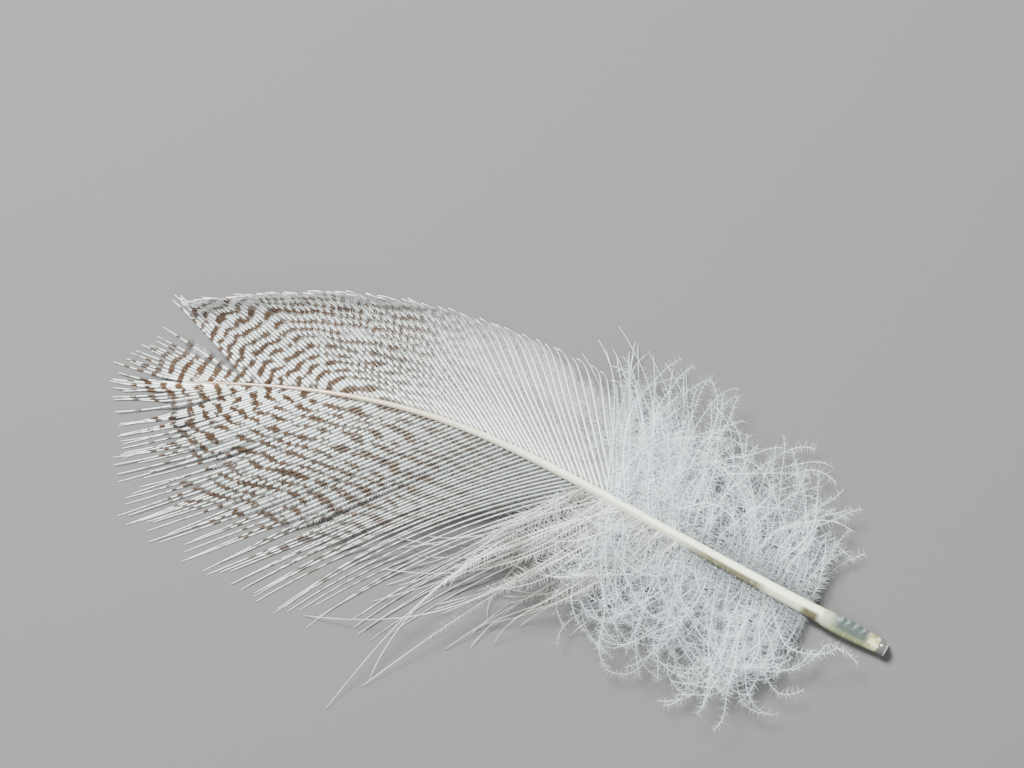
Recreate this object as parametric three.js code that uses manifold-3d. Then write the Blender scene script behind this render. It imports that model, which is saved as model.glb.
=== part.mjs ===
// A duck's body feather, lying on a table with the hollow side of its vane down.
// X runs from the tip of the vane (-) to the cut end of the quill (+), Y from the lower vane (-) to the
// upper vane (+), and Z is up from the table. Lengths are in mm and angles in degrees.
import * as THREE from "three";
import { mergeVertices } from "three/addons/utils/BufferGeometryUtils.js";
import Module from "manifold-3d";

// The shaft: one cubic curve from the cut end of the quill to the tip of the rachis.
const SHAFT_POINTS = [
  [37.25, 2.5, 0.9],
  [0.4, 6.6, 2.4],
  [-4.8, 11.8, 5.0],
  [-30.95, 3.0, 0.6],
];
// Radius of the shaft against the share of its length: cut end, swelling of the quill, taper to the tip.
const SHAFT_RADII = [
  [0, 0.86],
  [0.06, 0.9],
  [0.1, 0.78],
  [0.28, 0.58],
  [0.42, 0.46],
  [0.58, 0.34],
  [0.78, 0.22],
  [0.98, 0.12],
];
const SHAFT_SIDES = 12;
const SHAFT_RINGS = 16;
// Hollow of the quill, with a bevel round its bottom.
const LUMEN_RADIUS = 0.55;
const LUMEN_DEPTH = 6;
const LUMEN_BEVEL = 0.4;

// Barbs: station of the root along the shaft, length, angle to the shaft at the root and at the tip, and
// how deep the notches between the locks cut into that length.
const LOWER_BARBS = [
  [25, 26, 42, 64, 0.5],
  [32, 30, 38, 63, 0.45],
  [38.5, 28.8, 46, 49, 0.2],
  [49, 27, 38, 33, 0.06],
  [58, 18, 28, 18, 0.1],
  [62.5, 13, 26, 9, 0.14],
  [64.5, 10.9, 15, 1, 0.16],
  [67.8, 8, 4, -6, 0.18],
  [69.2, 6.9, 0, -8, 0.1],
];
const UPPER_BARBS = [
  [25, 13, 58, 63, 0.4],
  [30, 13.8, 44, 47, 0.25],
  [36, 16.7, 35, 37, 0.12],
  [45, 16.8, 33, 32, 0.1],
  [50, 16.2, 34, 30, 0.1],
  [57, 15.6, 35, 25, 0.12],
  [62, 10.6, 35, 14, 0.2],
  [66.5, 7.7, 26, 18, 0.16],
  [69.2, 7, 9, 17, 0.1],
];
const VANE_START = 25;
const VANE_END = 69.2;
const LOCKS_PER_VANE = 18;
const ROWS_PER_LOCK = 4;
const NOTCH_SHARPNESS = 1.5;
// Shares of a barb's length where the web has its corners, below the shaft and above it.
const LOWER_COLUMNS = [-1, -0.86, -0.72, -0.5, -0.25];
const UPPER_COLUMNS = [0.24, 0.44, 0.58, 0.72, 0.86, 1];
// The web is thickest along the shaft and loses a share of that towards its margins.
const VANE_THICKNESS = 0.36;
const MARGIN_THINNING = 0.3;
// Share of a barb's length at which the vane comes down to the table, and how roundly it comes down.
const LOWER_TOUCH = 0.72;
const UPPER_TOUCH = 0.5;
const FALL_ROUNDNESS = 1.6;
// The margin of the upper vane is rolled up: distance from the shaft where the roll starts against the
// station, its radius, and the stations between which it opens out flat again towards the tip.
const ROLL_STARTS = [
  [30, 7],
  [38, 5.8],
  [48, 4.6],
  [58, 3.2],
];
const ROLL_RADIUS = 2.5;
const ROLL_OPENS = [58.5, 62];

// Loose barbs under the lower vane: station, length, angle at the root and at the tip, height of the arc,
// and radius. The bare ones are thin, and the half downy ones are wider.
const LOOSE_BARBS = [
  [29.5, 32.8, 50, 84, 1.6, 0.3],
  [27.5, 32.2, 74, 26, 2.2, 0.5],
  [26.5, 31, 38, 80, 3, 0.34],
  [25, 30, 54, 64, 1.2, 0.34],
  [28.5, 24.2, 62, 40, 0.8, 0.8],
  [26, 21.2, 68, 38, 2.4, 0.8],
  [24, 23.2, 64, 48, 0.6, 0.8],
  [23, 19.2, 76, 40, 3, 0.8],
];
const LOOSE_SHARES = [0, 0.25, 0.5, 0.75, 1];
const LOOSE_TIP_HEIGHT = 0.25;
const LOOSE_FLATNESS = 0.8;

// Down: curved locks in pairs along the foot of the shaft, some on the table and some standing up.
const DOWN_START = 6.5;
const DOWN_END = 28;
const DOWN_PAIRS = 20;
const DOWN_LENGTH = { lower: 12.6, upper: 14.8 };
const DOWN_RADIUS = 1.5;
const DOWN_FLATNESS = 0.5;
const DOWN_LIFTS = [0.4, 2.8, 6.6, 1.2, 4.6];
// Angle to the shaft of the first lock and of the last, and how far the locks swing from it.
const DOWN_ANGLES = [106, 76];
const DOWN_SWING = 13;
// Share of the full length that the first lock has, how fast the next ones grow, and how uneven they are.
const DOWN_FIRST = 0.62;
const DOWN_GROWTH = 2;
const DOWN_UNEVENNESS = 0.16;
// A lock bends most at a share of its length. Its tip lies at a least height on the table, and where
// the lock is lifted, the tip comes down and in by shares of the lift.
const DOWN_BEND = 2.2;
const DOWN_BEND_SHARE = 0.55;
const DOWN_TIP_HEIGHT = 0.5;
const DOWN_TIP_DROP = 0.15;
const DOWN_TIP_DRAW = 0.3;
// Steps in radians from lock to lock that keep swing, length and bend out of phase with each other.
const SWING_STEP = 2.4;
const LENGTH_STEP = 1.7;
const BEND_STEP = 2.9;

// A lock is leaf-shaped: share of its radius against the share of its length, widest past the middle.
const LOCK_SIDES = 5;
const LOCK_OUTLINE = [
  [0, 0],
  [0.36, 0.08],
  [0.8, 0.36],
  [1, 0.6],
  [0.66, 0.84],
  [0, 1],
];
const WELD_DISTANCE = 1e-4;

const rad = THREE.MathUtils.degToRad;
const up = new THREE.Vector3(0, 0, 1);
const shaft = new THREE.CubicBezierCurve3(...SHAFT_POINTS.map((point) => new THREE.Vector3(...point)));
const shaftLength = shaft.getLength();

// Value in one column of a table whose rows go up by their first number.
function keyed(table, at, column) {
  const next = table.findIndex((row) => row[0] >= at);
  if (next === 0) return table[0][column];
  if (next === -1) return table[table.length - 1][column];
  const [low, high] = [table[next - 1], table[next]];
  return THREE.MathUtils.lerp(low[column], high[column], (at - low[0]) / (high[0] - low[0]));
}

// Point of the shaft at a station, with the level directions along it to the tip and out to one side.
function rootAt(station, side) {
  const share = THREE.MathUtils.clamp(station / shaftLength, 0, 1);
  const along = shaft.getTangentAt(share).setZ(0).normalize();
  const out = along.clone().cross(up).multiplyScalar(side);
  return { point: shaft.getPointAt(share), along, out };
}

// Distances along and across the shaft of a barb that bends evenly from one angle to another.
function barbReach(length, rootAngle, tipAngle, share) {
  const early = (2 * share - share * share) * length * 0.5;
  const late = share * share * length * 0.5;
  const along = early * Math.cos(rad(rootAngle)) + late * Math.cos(rad(tipAngle));
  const across = early * Math.sin(rad(rootAngle)) + late * Math.sin(rad(tipAngle));
  return { along, across };
}

// Length that the notch between two locks leaves of the barb at a station.
function lockLength(barbs, station, offset) {
  const lock = ((station - VANE_START) / (VANE_END - VANE_START)) * LOCKS_PER_VANE + offset;
  const fromMiddle = Math.abs((lock % 1) - 0.5) * 2;
  return keyed(barbs, station, 1) * (1 - keyed(barbs, station, 4) * fromMiddle ** NOTCH_SHARPNESS);
}

// Point of the web of the vane, with the direction that its upper face looks in.
function webPoint(station, share) {
  const side = share < 0 ? -1 : 1;
  const barbs = share < 0 ? LOWER_BARBS : UPPER_BARBS;
  const reach = Math.abs(share);
  const { point, along, out } = rootAt(station, side);
  const length = lockLength(barbs, station, share < 0 ? 0 : 0.5);
  const run = barbReach(length, keyed(barbs, station, 2), keyed(barbs, station, 3), reach);
  const touch = share < 0 ? LOWER_TOUCH : UPPER_TOUCH;
  const face = up.clone();
  point.z = Math.max(0, point.z - VANE_THICKNESS) * (1 - Math.min(1, reach / touch) ** FALL_ROUNDNESS);
  const rollStart = keyed(ROLL_STARTS, station, 1);
  const rolled = run.across - rollStart;
  if (side > 0 && rolled > 0) {
    const open = THREE.MathUtils.smoothstep(station, ...ROLL_OPENS);
    const turn = (rolled / ROLL_RADIUS) * (1 - open);
    const flat = rolled * open;
    run.across = rollStart + flat + ROLL_RADIUS * Math.sin(turn);
    point.z += ROLL_RADIUS * (1 - Math.cos(turn));
    face.multiplyScalar(Math.cos(turn)).addScaledVector(out, -Math.sin(turn));
  }
  point.addScaledVector(along, run.along).addScaledVector(out, run.across);
  return { point, face };
}

// A closed body as a solid that can be joined to others.
const wasm = await Module();
wasm.setup();
function solid(geometry) {
  const bare = new THREE.BufferGeometry();
  bare.setAttribute("position", geometry.getAttribute("position"));
  bare.setIndex(geometry.index);
  const welded = mergeVertices(bare, WELD_DISTANCE);
  const corners = Array.from(welded.index.array);
  const kept = [];
  for (let i = 0; i < corners.length; i += 3) {
    const face = corners.slice(i, i + 3);
    if (new Set(face).size === 3) kept.push(...face);
  }
  return new wasm.Manifold(
    new wasm.Mesh({
      numProp: 3,
      vertProperties: welded.attributes.position.array,
      triVerts: new Uint32Array(kept),
    }),
  );
}

// Moves every corner of a geometry by a function of where it was.
function shape(geometry, place) {
  const position = geometry.getAttribute("position");
  const corner = new THREE.Vector3();
  for (let i = 0; i < position.count; i++) {
    const moved = place(corner.fromBufferAttribute(position, i));
    position.setXYZ(i, moved.x, moved.y, moved.z);
  }
  return geometry;
}

// A turned body whose axis, 0 to 1 in Y, is bent along a curve, and flattened by a share.
function bent(profile, sides, curve, flat) {
  const turned = new THREE.LatheGeometry(profile, sides);
  return shape(turned, ({ x, y, z }) => {
    const share = THREE.MathUtils.clamp(y, 0, 1);
    const along = curve.getTangentAt(share);
    const side = along.clone().cross(up).normalize();
    const over = side.clone().cross(along);
    return curve.getPointAt(share).addScaledVector(side, x).addScaledVector(over, z * flat);
  });
}

// Shaft with the hollow of the quill open at the cut end.
function shaftBody() {
  const outside = SHAFT_RADII.map(([share, radius]) => new THREE.Vector2(radius, share));
  const profile = [
    new THREE.Vector2(0, LUMEN_DEPTH / shaftLength),
    new THREE.Vector2(LUMEN_RADIUS, (LUMEN_DEPTH - LUMEN_BEVEL) / shaftLength),
    new THREE.Vector2(LUMEN_RADIUS, 0),
    ...new THREE.SplineCurve(outside).getPoints(SHAFT_RINGS),
    new THREE.Vector2(0, 1),
  ];
  return bent(profile, SHAFT_SIDES, shaft, 1);
}

// Web of both vanes as one thin sheet: a box whose rows follow the barbs and whose columns cross them.
function vaneBody() {
  const columns = [...LOWER_COLUMNS, 0, ...UPPER_COLUMNS];
  const rows = LOCKS_PER_VANE * ROWS_PER_LOCK;
  const sheet = new THREE.BoxGeometry(rows, columns.length - 1, 1, rows, columns.length - 1, 1);
  return shape(sheet, ({ x, y, z }) => {
    const station = THREE.MathUtils.lerp(VANE_END, VANE_START, x / rows + 0.5);
    const share = columns[Math.round(y + (columns.length - 1) / 2)];
    const { point, face } = webPoint(station, share);
    const thickness = VANE_THICKNESS * (1 - MARGIN_THINNING * Math.abs(share));
    return point.addScaledVector(face, z > 0 ? thickness : 0);
  });
}

// A lock of barbs along a curve: thin at the root and pointed at the tip.
function lockBody(curve, radius, flat) {
  const profile = LOCK_OUTLINE.map(([width, share]) => new THREE.Vector2(width * radius, share));
  return bent(profile, LOCK_SIDES, curve, flat);
}

// Curve of a loose barb that leaves the shaft, rises over a low arc and comes down to the table.
function looseCurve([station, length, rootAngle, tipAngle, height]) {
  const { point, along, out } = rootAt(station, -1);
  const points = LOOSE_SHARES.map((share) => {
    const run = barbReach(length, rootAngle, tipAngle, share);
    const spot = point.clone().addScaledVector(along, run.along).addScaledVector(out, run.across);
    const fall = THREE.MathUtils.lerp(point.z, LOOSE_TIP_HEIGHT, share);
    return spot.setZ(fall + height * Math.sin(Math.PI * share));
  });
  return new THREE.CatmullRomCurve3(points);
}

// Curve of a lock of down: out from the shaft, up or flat by turns, and curling over at its end.
function downCurve(index, side) {
  const share = (index + (side > 0 ? 0.3 : 0.7)) / DOWN_PAIRS;
  const { point, along, out } = rootAt(THREE.MathUtils.lerp(DOWN_START, DOWN_END, share), side);
  const swing = DOWN_SWING * Math.sin(index * SWING_STEP + side);
  const angle = rad(THREE.MathUtils.lerp(...DOWN_ANGLES, share) + swing);
  const fullLength = side > 0 ? DOWN_LENGTH.upper : DOWN_LENGTH.lower;
  const uneven = 1 - DOWN_UNEVENNESS * (1 - Math.cos(index * LENGTH_STEP + side));
  const length = fullLength * uneven * Math.min(1, DOWN_FIRST + DOWN_GROWTH * share);
  const lift = DOWN_LIFTS[(index + (side > 0 ? 0 : 2)) % DOWN_LIFTS.length];
  const halfThick = DOWN_RADIUS * DOWN_FLATNESS;
  const heading = along.clone().multiplyScalar(Math.cos(angle)).addScaledVector(out, Math.sin(angle));
  const bend = heading.clone().cross(up).multiplyScalar(DOWN_BEND * Math.cos(index * BEND_STEP + side));
  const middle = point.clone().addScaledVector(heading, length * DOWN_BEND_SHARE).add(bend);
  middle.setZ(lift + halfThick);
  const tip = point.clone().addScaledVector(heading, length - lift * DOWN_TIP_DRAW);
  tip.setZ(lift * (1 - DOWN_TIP_DROP) + DOWN_TIP_HEIGHT);
  return new THREE.QuadraticBezierCurve3(point, middle, tip);
}

const sides = [-1, 1];
const bodies = [shaftBody(), vaneBody()];
for (const barb of LOOSE_BARBS) {
  bodies.push(lockBody(looseCurve(barb), barb[5], LOOSE_FLATNESS));
}
for (let index = 0; index < DOWN_PAIRS; index++) {
  for (const side of sides) {
    bodies.push(lockBody(downCurve(index, side), DOWN_RADIUS, DOWN_FLATNESS));
  }
}
const joined = bodies.map(solid).reduce((whole, piece) => whole.add(piece));
const resting = joined.trimByPlane([0, 0, 1], 0);

const outer = resting.getMesh();
const geometry = new THREE.BufferGeometry();
geometry.setAttribute("position", new THREE.BufferAttribute(new Float32Array(outer.vertProperties), 3));
geometry.setIndex(Array.from(outer.triVerts));
const keratin = new THREE.MeshStandardMaterial({ color: 0xd9dcd4, roughness: 0.65, metalness: 0 });
const feather = new THREE.Mesh(geometry, keratin);
feather.name = "feather";

const part = new THREE.Group();
part.add(feather);
export default part;
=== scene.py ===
import math

import bmesh
import bpy
import numpy as np
from mathutils import Matrix, Vector


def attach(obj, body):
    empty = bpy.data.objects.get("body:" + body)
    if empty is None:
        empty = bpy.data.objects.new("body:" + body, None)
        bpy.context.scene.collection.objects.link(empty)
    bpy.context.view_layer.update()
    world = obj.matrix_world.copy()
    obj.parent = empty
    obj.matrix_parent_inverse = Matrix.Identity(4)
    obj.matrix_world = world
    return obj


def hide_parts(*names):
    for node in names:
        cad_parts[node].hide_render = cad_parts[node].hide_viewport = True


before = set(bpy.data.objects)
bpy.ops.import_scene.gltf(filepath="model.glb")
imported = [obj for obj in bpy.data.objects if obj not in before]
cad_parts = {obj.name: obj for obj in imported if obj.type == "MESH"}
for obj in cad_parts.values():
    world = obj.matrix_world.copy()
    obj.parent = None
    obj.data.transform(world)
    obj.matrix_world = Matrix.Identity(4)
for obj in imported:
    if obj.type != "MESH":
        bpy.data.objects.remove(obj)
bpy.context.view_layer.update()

# Shaft: a solid horn that tapers from the quill to a hair at the tip and arches along its length.
# It is cream, tan towards the tip, with painted olive shade on its lower flank and along its groove, and a
# brown pit near where the quill begins, painted dark with the shade inside it.
# Lengths are in millimetres here and become metres as each mesh is made; stations run from the cut end.
MM = 0.001
SHAFT_POINTS = np.array([(37.25, 2.5, 0.9), (0.4, 6.6, 2.4), (-4.8, 11.8, 5.0), (-30.95, 3.0, 0.6)])
SHAFT_RADII = (
    (6.3, 0.72), (6.7, 0.75), (9, 0.7), (19.5, 0.58), (29, 0.46), (40, 0.34), (54, 0.22), (69, 0.1),
)
SHAFT_SIDES = 20
SHAFT_RINGS = 84
CURVE_SAMPLES = 600
CORNER_ANGLE = 0.7
CREAM_STOPS = (
    (0.09, 0.58, 0.63, 0.45), (0.2, 0.62, 0.67, 0.5), (0.5, 0.53, 0.57, 0.44),
    (0.68, 0.4, 0.36, 0.27), (0.85, 0.24, 0.175, 0.12), (1.0, 0.18, 0.125, 0.085),
)
# Painted shade: olive darkens the lower flank and the groove, which isn't modelled; the pit is painted dark
# brown with the shade inside it.
OLIVE_SHADE = (0.078, 0.074, 0.04)
FLANK_SHADE_EDGE = (0.2, -0.35)
FLANK_SHADE_RUN = (62.0, 16.0, 0.0, 0.5)
FLANK_SHADE_GRAIN = (0.15, 0.42)
GROOVE_SHADE_FOOT = (10.5, 13.5)
GROOVE_SHADE_HEAD = (25.0, 17.5)
PIT_SHADE_BROWN = (0.055, 0.048, 0.022)
PIT_STATION = 7.7
PIT_REACH = (1.2, 0.5)
PIT_EDGE = (0.25, -0.3)
WORN_TAN = (0.32, 0.28, 0.19)
WORN_GRAIN = (0.45, 0.75, 0.0, 0.25)
GRAIN_SCALE = 1100.0

curve_share = np.linspace(0, 1, CURVE_SAMPLES)[:, None]
curve_weights = np.hstack([
    (1 - curve_share) ** 3,
    3 * curve_share * (1 - curve_share) ** 2,
    3 * curve_share ** 2 * (1 - curve_share),
    curve_share ** 3,
])
shaft_line = curve_weights @ SHAFT_POINTS
shaft_steps = np.linalg.norm(np.diff(shaft_line, axis=0), axis=1)
shaft_stations = np.concatenate([[0], np.cumsum(shaft_steps)])
SHAFT_LENGTH = shaft_stations[-1]
shaft_slopes = np.gradient(shaft_line, shaft_stations, axis=0)


def unit(vectors):
    """Vectors at length one."""
    return vectors / np.linalg.norm(vectors, axis=-1, keepdims=True)


def along_shaft(table, station):
    """Each coordinate of a table kept along the shaft, read at these stations."""
    return np.stack([np.interp(station, shaft_stations, table[:, axis]) for axis in range(3)], axis=-1)


def shaft_radius(station):
    """Radius of the shaft at a station."""
    return np.interp(station, *zip(*SHAFT_RADII))


def root_frame(station):
    """Points of the shaft, with the level directions along it to the tip and out to the upper vane."""
    point = along_shaft(shaft_line, station)
    along = along_shaft(shaft_slopes, station)
    along[..., 2] = 0
    along = unit(along)
    out = np.cross(along, (0.0, 0.0, 1.0))
    return point, along, out


def ring_matrix(station, radius):
    """Turns a unit circle into the cross-section of the shaft at a station, in metres."""
    at = np.array([station])
    point = Vector(along_shaft(shaft_line, at)[0]) * MM
    ahead = Vector(along_shaft(shaft_slopes, at)[0]).normalized()
    side = ahead.cross(Vector((0, 0, 1))).normalized()
    over = side.cross(ahead)
    turn = Matrix((side, over, ahead)).transposed().to_4x4()
    return Matrix.Translation(point) @ turn @ Matrix.Scale(radius * MM, 4)


def horn_build():
    """An empty mesh whose corners keep their station and how far they lie to the upper side."""
    build = bmesh.new()
    build.verts.layers.float.new("station")
    build.verts.layers.float.new("flank")
    return build


def draw_tube(build, rings):
    """Adds a closed skin through rings across the shaft, each (station, radius), and gives its corners."""
    station_layer = build.verts.layers.float["station"]
    flank_layer = build.verts.layers.float["flank"]
    loop = bmesh.ops.create_circle(build, segments=SHAFT_SIDES, radius=1, cap_ends=True)["verts"]
    edges = list(dict.fromkeys(edge for vert in loop for edge in vert.link_edges))
    placed = Matrix.Identity(4)
    corners = []
    for index, (station, radius) in enumerate(rings):
        if index:
            drawn = bmesh.ops.extrude_edge_only(build, edges=edges)["geom"]
            loop = [part for part in drawn if isinstance(part, bmesh.types.BMVert)]
            edges = [part for part in drawn if isinstance(part, bmesh.types.BMEdge)
                     and all(vert in loop for vert in part.verts)]
        target = ring_matrix(station, radius)
        bmesh.ops.transform(build, matrix=target @ placed.inverted(), verts=loop)
        placed = target
        for vert in loop:
            vert[station_layer] = station
            vert[flank_layer] = (target.inverted() @ vert.co).x
        corners.extend(loop)
    bmesh.ops.contextual_create(build, geom=edges)
    return corners


def finish_mesh(name, build, material):
    """A new object at the origin with the mesh of a bmesh."""
    mesh = bpy.data.meshes.new(name)
    build.to_mesh(mesh)
    build.free()
    mesh.materials.append(material)
    piece = bpy.data.objects.new(name, mesh)
    bpy.context.collection.objects.link(piece)
    return piece


def smooth_horn(build):
    """Faces outwards and smooth, with the cut corners left sharp."""
    bmesh.ops.recalc_face_normals(build, faces=build.faces)
    for face in build.faces:
        face.smooth = True
    for edge in build.edges:
        edge.smooth = edge.calc_face_angle(0) < CORNER_ANGLE


def dress(piece):
    """The piece rides on the feather and stands for its solid."""
    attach(piece, "root")
    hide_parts("feather")


def add_node(tree, kind, inputs=None, **settings):
    """A shader node with its settings and its inputs, each a value or the output that feeds it."""
    node = tree.nodes.new(kind)
    for name, value in settings.items():
        setattr(node, name, value)
    for socket, value in (inputs or {}).items():
        if isinstance(value, bpy.types.NodeSocket):
            tree.links.new(value, node.inputs[socket])
        else:
            node.inputs[socket].default_value = value
    return node


def math_node(tree, operation, *values):
    """Output of a maths node over values or other outputs."""
    return add_node(tree, "ShaderNodeMath", dict(enumerate(values)), operation=operation).outputs[0]


def fade(tree, value, start, end, first=0.0, last=1.0):
    """Number that goes smoothly from first to last while a value goes from start to end."""
    node = add_node(tree, "ShaderNodeMapRange", {0: value, 1: start, 2: end, 3: first, 4: last},
                    interpolation_type="SMOOTHSTEP")
    return node.outputs[0]


def noise(tree, vector, scale, detail):
    """Cloudy number between 0 and 1."""
    node = add_node(tree, "ShaderNodeTexNoise", {"Vector": vector, "Scale": scale, "Detail": detail})
    return node.outputs["Fac"]


def colour_ramp(tree, factor, stops):
    """Colour that changes with a factor: stops are (place, red, green, blue)."""
    ramp = add_node(tree, "ShaderNodeValToRGB", {0: factor})
    elements = ramp.color_ramp.elements
    while len(elements) < len(stops):
        elements.new(1)
    for element, (place, *colour) in zip(elements, stops):
        element.position = place
        element.color = (*colour, 1)
    return ramp.outputs[0]


def mix_colours(tree, factor, first, second):
    """Blend of two colours by a factor."""
    mix = add_node(tree, "ShaderNodeMix", data_type="RGBA")
    tree.links.new(factor, mix.inputs[0])
    for socket, value in ((6, first), (7, second)):
        if isinstance(value, bpy.types.NodeSocket):
            tree.links.new(value, mix.inputs[socket])
        else:
            mix.inputs[socket].default_value = (*value, 1)
    return mix.outputs[2]


def attribute(tree, name):
    """A number that the mesh keeps at each of its corners."""
    return add_node(tree, "ShaderNodeAttribute", attribute_name=name).outputs["Fac"]


def object_place(tree):
    """Place on the feather, in metres."""
    return add_node(tree, "ShaderNodeTexCoord").outputs["Object"]


def new_material(name):
    """A material with only its node tree."""
    material = bpy.data.materials.new(name)
    material.use_nodes = True
    tree = material.node_tree
    tree.nodes.clear()
    return material, tree


def show(tree, shader):
    """The shader becomes the material's surface."""
    add_node(tree, "ShaderNodeOutputMaterial", {"Surface": shader.outputs[0]})


def horn_material():
    """Cream horn, tan at the tip, painted olive shade on the lower flank and groove, a brown pit at its foot
    with painted shade.
    """
    material, tree = new_material("cream horn")
    station = attribute(tree, "station")
    flank = attribute(tree, "flank")
    share = math_node(tree, "DIVIDE", station, float(SHAFT_LENGTH))
    cream = colour_ramp(tree, share, CREAM_STOPS)
    grain = noise(tree, object_place(tree), GRAIN_SCALE, detail=4.0)
    # Painted shade along the lower flank and the groove, tinted olive.
    groove_shade_foot = fade(tree, station, *GROOVE_SHADE_FOOT)
    groove = math_node(tree, "MULTIPLY", groove_shade_foot, fade(tree, station, *GROOVE_SHADE_HEAD))
    shade_run = math_node(tree, "MAXIMUM", groove, fade(tree, station, *FLANK_SHADE_RUN))
    shadow = math_node(tree, "MULTIPLY", fade(tree, flank, *FLANK_SHADE_EDGE), shade_run)
    olive = math_node(tree, "MULTIPLY", shadow, fade(tree, grain, *FLANK_SHADE_GRAIN))
    shaded = mix_colours(tree, olive, cream, OLIVE_SHADE)
    # Painted shade: the pit isn't modelled, so a dark brown patch stands for it and for the shade inside it.
    from_pit = math_node(tree, "ABSOLUTE", math_node(tree, "SUBTRACT", station, PIT_STATION))
    pit_shade = math_node(tree, "MULTIPLY", fade(tree, from_pit, *PIT_REACH), fade(tree, flank, *PIT_EDGE))
    pitted = mix_colours(tree, pit_shade, shaded, PIT_SHADE_BROWN)
    worn = mix_colours(tree, fade(tree, grain, *WORN_GRAIN), pitted, WORN_TAN)
    shader = add_node(tree, "ShaderNodeBsdfPrincipled", {"Base Color": worn, "Roughness": 0.32})
    shader.inputs["Coat Weight"].default_value = 0.4
    shader.inputs["Coat Roughness"].default_value = 0.15
    show(tree, shader)
    return material


shaft_build = horn_build()
shaft_rings = np.linspace(SHAFT_RADII[0][0], SHAFT_LENGTH, SHAFT_RINGS)
draw_tube(shaft_build, [(station, shaft_radius(station)) for station in shaft_rings])
smooth_horn(shaft_build)
dress(finish_mesh("shaft", shaft_build, horn_material()))

# Quill: the clear hollow foot of the shaft, which sat in the skin. A groove near its end marks off
# a short square tip, which is clear and has a chip in its rim.
QUILL_OUTSIDE = (
    (0, 0.7), (0.06, 0.75), (0.62, 0.74), (0.74, 0.66), (0.88, 0.72), (2.2, 0.8), (3.6, 0.87), (5, 0.88),
    (6, 0.83), (6.4, 0.78), (6.9, 0.66),
)
QUILL_LUMEN = ((6.2, 0.2), (5.9, 0.45), (4.8, 0.62), (3.4, 0.6), (2.2, 0.56), (0.9, 0.5), (0, 0.54))
CHIP_DEPTH = 0.22
CHIP_FROM = 0.6
STREAK_PERIOD = 0.8
STREAK_SLANT = 0.35
STREAK_WANDER = 1.1
HIGHLIGHT_LEAN = 0.6
STREAK_LIT_SIDE = (-0.35, 0.6)
STREAK_LIGHT = (-1.2, 1.7)
STREAK_STOPS = (
    (0.0, 0.1, 0.128, 0.112), (0.5, 0.115, 0.148, 0.134), (0.8, 0.17, 0.212, 0.2), (1.0, 0.32, 0.39, 0.39),
)
HAZE_SCALE = 1.1
RIM_GREEN = (0.38, 0.42, 0.23)
RIM_EDGE = (-0.2, -0.85)
QUILL_CREAM = (0.6, 0.65, 0.47)
CREAM_FROM = (4.7, 6.5)
PLUG_STOPS = ((0.35, 0.32, 0.31, 0.13), (0.6, 0.85, 0.8, 0.5))
PLUG_FOOT = (0.7, 0.9)
PLUG_HEAD = (2.3, 1.7)
CAP_STOPS = ((0.05, 0.5, 0.5, 0.51), (0.2, 0.12, 0.13, 0.125), (0.62, 0.16, 0.17, 0.15))
CAP_HEAD = (0.85, 0.7)


def clear_horn_material():
    """Clear horn with cloudy blue white streaks and a painted highlight on top, cream at the shaft and
    yellow at its lower rim and end.
    """
    material, tree = new_material("clear horn")
    station = attribute(tree, "station")
    flank = attribute(tree, "flank")
    place = add_node(tree, "ShaderNodeCombineXYZ", {0: station, 1: flank}).outputs[0]
    haze = noise(tree, place, HAZE_SCALE, detail=1.0)
    slanted = math_node(tree, "ADD", station, math_node(tree, "MULTIPLY", flank, STREAK_SLANT))
    wandering = math_node(tree, "ADD", slanted, math_node(tree, "MULTIPLY", haze, STREAK_WANDER))
    wave = math_node(tree, "SINE", math_node(tree, "MULTIPLY", wandering, 2 * math.pi / STREAK_PERIOD))
    # The streaks are the banded horn. They show most on the upper side, and that side is made lighter as a
    # painted highlight.
    streaks = math_node(tree, "MULTIPLY", wave, fade(tree, flank, *STREAK_LIT_SIDE))
    lit = math_node(tree, "ADD", streaks, math_node(tree, "MULTIPLY", flank, HIGHLIGHT_LEAN))
    streaked = colour_ramp(tree, fade(tree, lit, *STREAK_LIGHT), STREAK_STOPS)
    rimmed = mix_colours(tree, fade(tree, flank, *RIM_EDGE), streaked, RIM_GREEN)
    creamy = mix_colours(tree, fade(tree, station, *CREAM_FROM), rimmed, QUILL_CREAM)
    in_plug = math_node(tree, "MULTIPLY", fade(tree, station, *PLUG_HEAD), fade(tree, station, *PLUG_FOOT))
    plugged = mix_colours(tree, in_plug, creamy, colour_ramp(tree, haze, PLUG_STOPS))
    cap = colour_ramp(tree, station, CAP_STOPS)
    tint = mix_colours(tree, fade(tree, station, *CAP_HEAD), plugged, cap)
    shader = add_node(tree, "ShaderNodeBsdfPrincipled", {"Base Color": tint, "Roughness": 0.12, "IOR": 1.5})
    shader.inputs["Transmission Weight"].default_value = 0.6
    show(tree, shader)
    return material


quill_build = horn_build()
quill_corners = draw_tube(quill_build, (*QUILL_LUMEN, *QUILL_OUTSIDE))
station_of = quill_build.verts.layers.float["station"]
flank_of = quill_build.verts.layers.float["flank"]
rim = [vert for vert in quill_corners if vert[station_of] <= QUILL_OUTSIDE[1][0]]
chipped = [vert for vert in rim if vert[flank_of] > CHIP_FROM]
tipward = ring_matrix(0, 1).to_3x3().col[2].normalized()
bmesh.ops.translate(quill_build, verts=chipped, vec=tipward * CHIP_DEPTH * MM)
smooth_horn(quill_build)
dress(finish_mesh("quill", quill_build, clear_horn_material()))

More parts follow.
